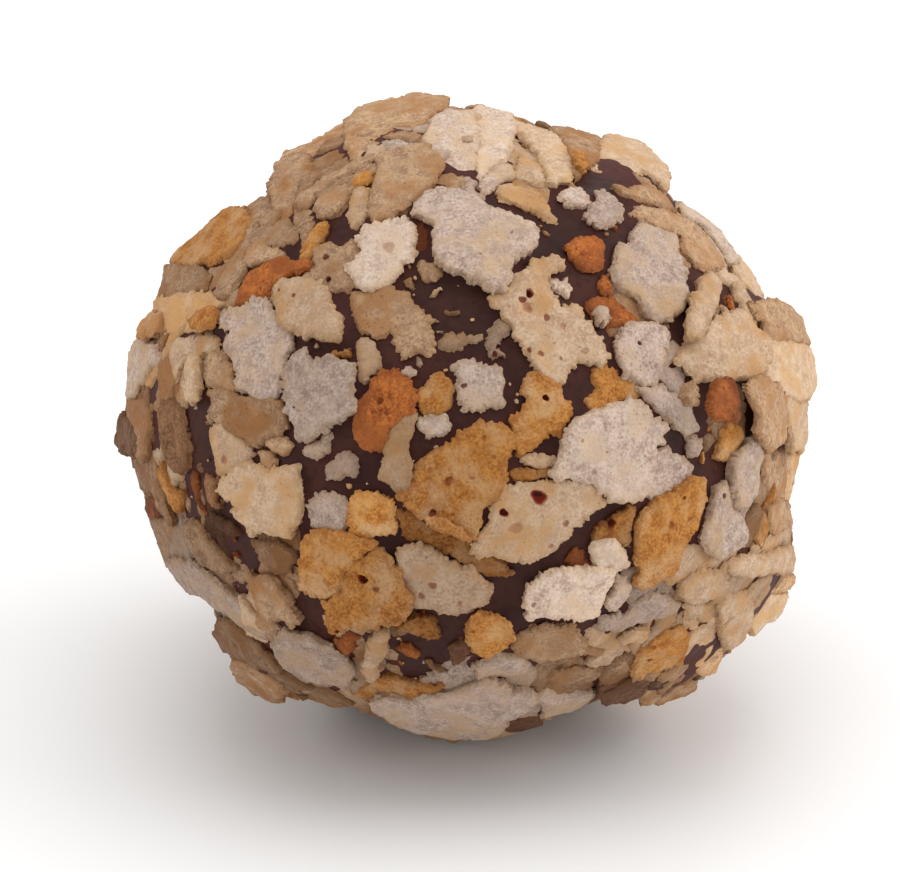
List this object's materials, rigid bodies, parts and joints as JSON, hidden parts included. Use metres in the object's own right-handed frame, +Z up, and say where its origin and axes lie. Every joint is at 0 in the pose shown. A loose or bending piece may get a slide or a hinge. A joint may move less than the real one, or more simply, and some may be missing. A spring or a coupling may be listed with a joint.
{
  "type": "marzipan ball",
  "caption": "Small round marzipan ball in a dark chocolate coat, covered all over in crushed wafer flakes, with a small flat spot to rest on.",
  "frame": {"origin": "middle of the flat spot that the ball rests on, under the centre of its bounding box", "axes": "+Z up, out of the top of the ball as it rests; +X to the right along its greatest width, with the front towards -Y"},
  "size_m": [0.03, 0.0292, 0.0274],
  "materials": {
    "wafer_coating": "matt crushed wafer, chalky to toasted",
    "dark_chocolate": "satin dark chocolate"
  },
  "bodies": {
    "root": {"marzipan_ball": "wafer_coating"}
  },
  "joints": []
}
